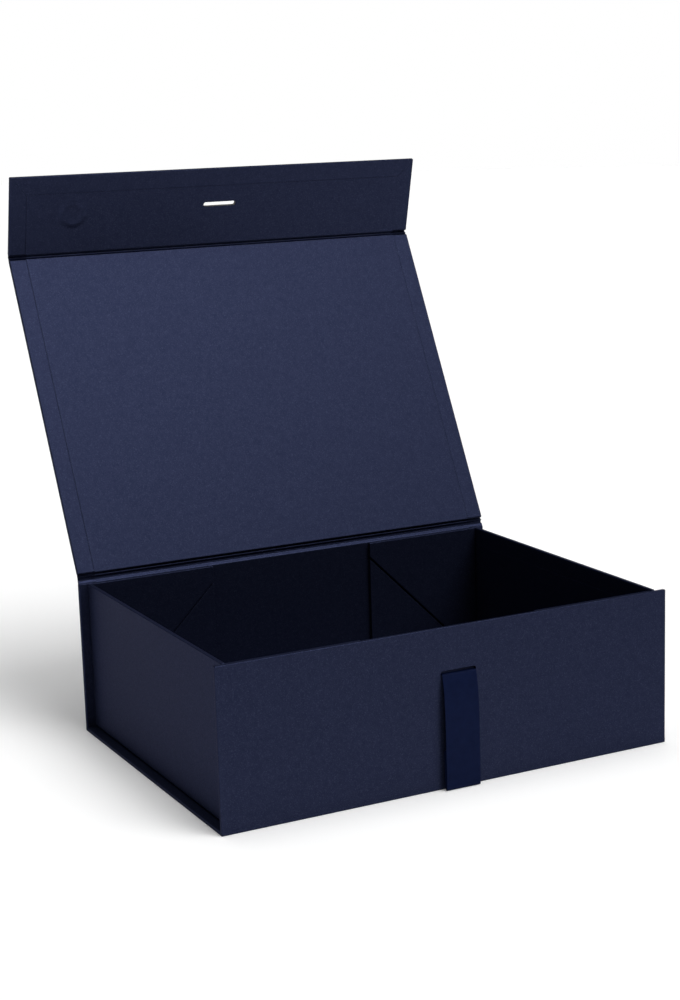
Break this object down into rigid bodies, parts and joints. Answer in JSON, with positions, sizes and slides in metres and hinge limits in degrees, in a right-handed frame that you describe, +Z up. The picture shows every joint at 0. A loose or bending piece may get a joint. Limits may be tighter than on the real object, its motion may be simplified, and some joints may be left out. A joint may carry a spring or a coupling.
{
  "type": "archival box",
  "caption": "Fold-flat archival box of paper-covered board with a magnetic flap lid, folding side walls on creased gussets, and a ribbon tab.",
  "frame": {"origin": "middle of the box's underside, on the surface it stands on", "axes": "+Z up; +X along the width to the viewer's right from the front; the front wall faces -Y"},
  "size_m": [0.33, 0.3589, 0.3869],
  "materials": {
    "wrap_paper": "fine pearl navy covering paper, satin",
    "lining_paper": "fine pearl navy lining paper, satin",
    "grey_board": "raw grey board, matt",
    "adhesive_tape": "release paper",
    "ribbon_satin": "ribbed navy ribbon",
    "magnet_nickel": "nickel plate",
    "steel_plate": "mill steel"
  },
  "bodies": {
    "base": {"base_board": "grey_board", "base_lining": "lining_paper", "base_wrap": "wrap_paper", "left_hinge_paper": "wrap_paper", "right_hinge_paper": "wrap_paper"},
    "front_wall": {"front_left_gusset_lower": "wrap_paper", "front_left_gusset_tape": "adhesive_tape", "front_plate_left": "steel_plate", "front_plate_right": "steel_plate", "front_right_gusset_lower": "wrap_paper", "front_right_gusset_tape": "adhesive_tape", "front_wall_board": "grey_board", "front_wall_lining": "lining_paper", "front_wall_wrap": "wrap_paper", "ribbon": "ribbon_satin", "ribbon_patch": "lining_paper"},
    "back_wall": {"back_wall_board": "grey_board", "back_wall_lining": "lining_paper", "back_wall_wrap": "wrap_paper", "lid_hinge_ridge": "wrap_paper", "rear_left_gusset_lower": "wrap_paper", "rear_left_gusset_tape": "adhesive_tape", "rear_right_gusset_lower": "wrap_paper", "rear_right_gusset_tape": "adhesive_tape"},
    "left_wall": {"left_wall_board": "grey_board", "left_wall_lining": "lining_paper", "left_wall_wrap": "wrap_paper"},
    "right_wall": {"right_wall_board": "grey_board", "right_wall_lining": "lining_paper", "right_wall_wrap": "wrap_paper"},
    "lid": {"flap_hinge_ridge": "wrap_paper", "lid_board": "grey_board", "lid_lining": "lining_paper", "lid_wrap": "wrap_paper"},
    "flap": {"flap_board": "grey_board", "flap_lining": "lining_paper", "flap_magnet_left": "magnet_nickel", "flap_magnet_right": "magnet_nickel", "flap_wrap": "wrap_paper"},
    "front_left_gusset": {"front_left_gusset_upper": "wrap_paper"},
    "front_right_gusset": {"front_right_gusset_upper": "wrap_paper"},
    "rear_left_gusset": {"rear_left_gusset_upper": "wrap_paper"},
    "rear_right_gusset": {"rear_right_gusset_upper": "wrap_paper"}
  },
  "joints": [
    {"name": "box_fold", "type": "hinge", "parent": "base", "child": "back_wall", "pos_m": [0, 0.12, 0], "axis": [-1, 0, 0], "range_deg": [0, 90]},
    {"name": "front_wall_fold", "type": "hinge", "parent": "base", "child": "front_wall", "pos_m": [0, -0.12, 0], "axis": [1, 0, 0], "range_deg": [0, 90]},
    {"name": "left_wall_fold", "type": "hinge", "parent": "base", "child": "left_wall", "pos_m": [-0.156, 0, 0.0042], "axis": [0, 1, 0], "range_deg": [0, 90]},
    {"name": "right_wall_fold", "type": "hinge", "parent": "base", "child": "right_wall", "pos_m": [0.156, 0, 0.0042], "axis": [0, -1, 0], "range_deg": [0, 90]},
    {"name": "lid_hinge", "type": "hinge", "parent": "back_wall", "child": "lid", "pos_m": [0, 0.1202, 0.1111], "axis": [1, 0, 0], "range_deg": [-62, 117.5]},
    {"name": "flap_hinge", "type": "hinge", "parent": "lid", "child": "flap", "pos_m": [0, 0.23328, 0.32833], "axis": [1, 0, 0], "range_deg": [-42, 48]},
    {"name": "rear_left_gusset_fold", "type": "hinge", "parent": "back_wall", "child": "rear_left_gusset", "pos_m": [-0.156, 0.11385, 0.0042], "axis": [0.7071, 0, 0.7071], "range_deg": [0, 180], "deforming": ["rear_left_gusset_upper"]},
    {"name": "rear_right_gusset_fold", "type": "hinge", "parent": "back_wall", "child": "rear_right_gusset", "pos_m": [0.156, 0.11385, 0.0042], "axis": [0.7071, 0, -0.7071], "range_deg": [0, 180], "deforming": ["rear_right_gusset_upper"]},
    {"name": "front_left_gusset_fold", "type": "hinge", "parent": "front_wall", "child": "front_left_gusset", "pos_m": [-0.156, -0.11385, 0.0042], "axis": [-0.7071, 0, -0.7071], "range_deg": [0, 180], "deforming": ["front_left_gusset_upper"]},
    {"name": "front_right_gusset_fold", "type": "hinge", "parent": "front_wall", "child": "front_right_gusset", "pos_m": [0.156, -0.11385, 0.0042], "axis": [-0.7071, 0, 0.7071], "range_deg": [0, 180], "deforming": ["front_right_gusset_upper"]}
  ],
  "couplings": [
    {"joint": "front_wall_fold", "follows": "box_fold", "ratio": 1},
    {"joint": "left_wall_fold", "follows": "box_fold", "ratio": 1},
    {"joint": "right_wall_fold", "follows": "box_fold", "ratio": 1},
    {"joint": "rear_left_gusset_fold", "follows": "box_fold", "ratio": 2},
    {"joint": "rear_right_gusset_fold", "follows": "box_fold", "ratio": 2},
    {"joint": "front_left_gusset_fold", "follows": "box_fold", "ratio": 2},
    {"joint": "front_right_gusset_fold", "follows": "box_fold", "ratio": 2}
  ]
}
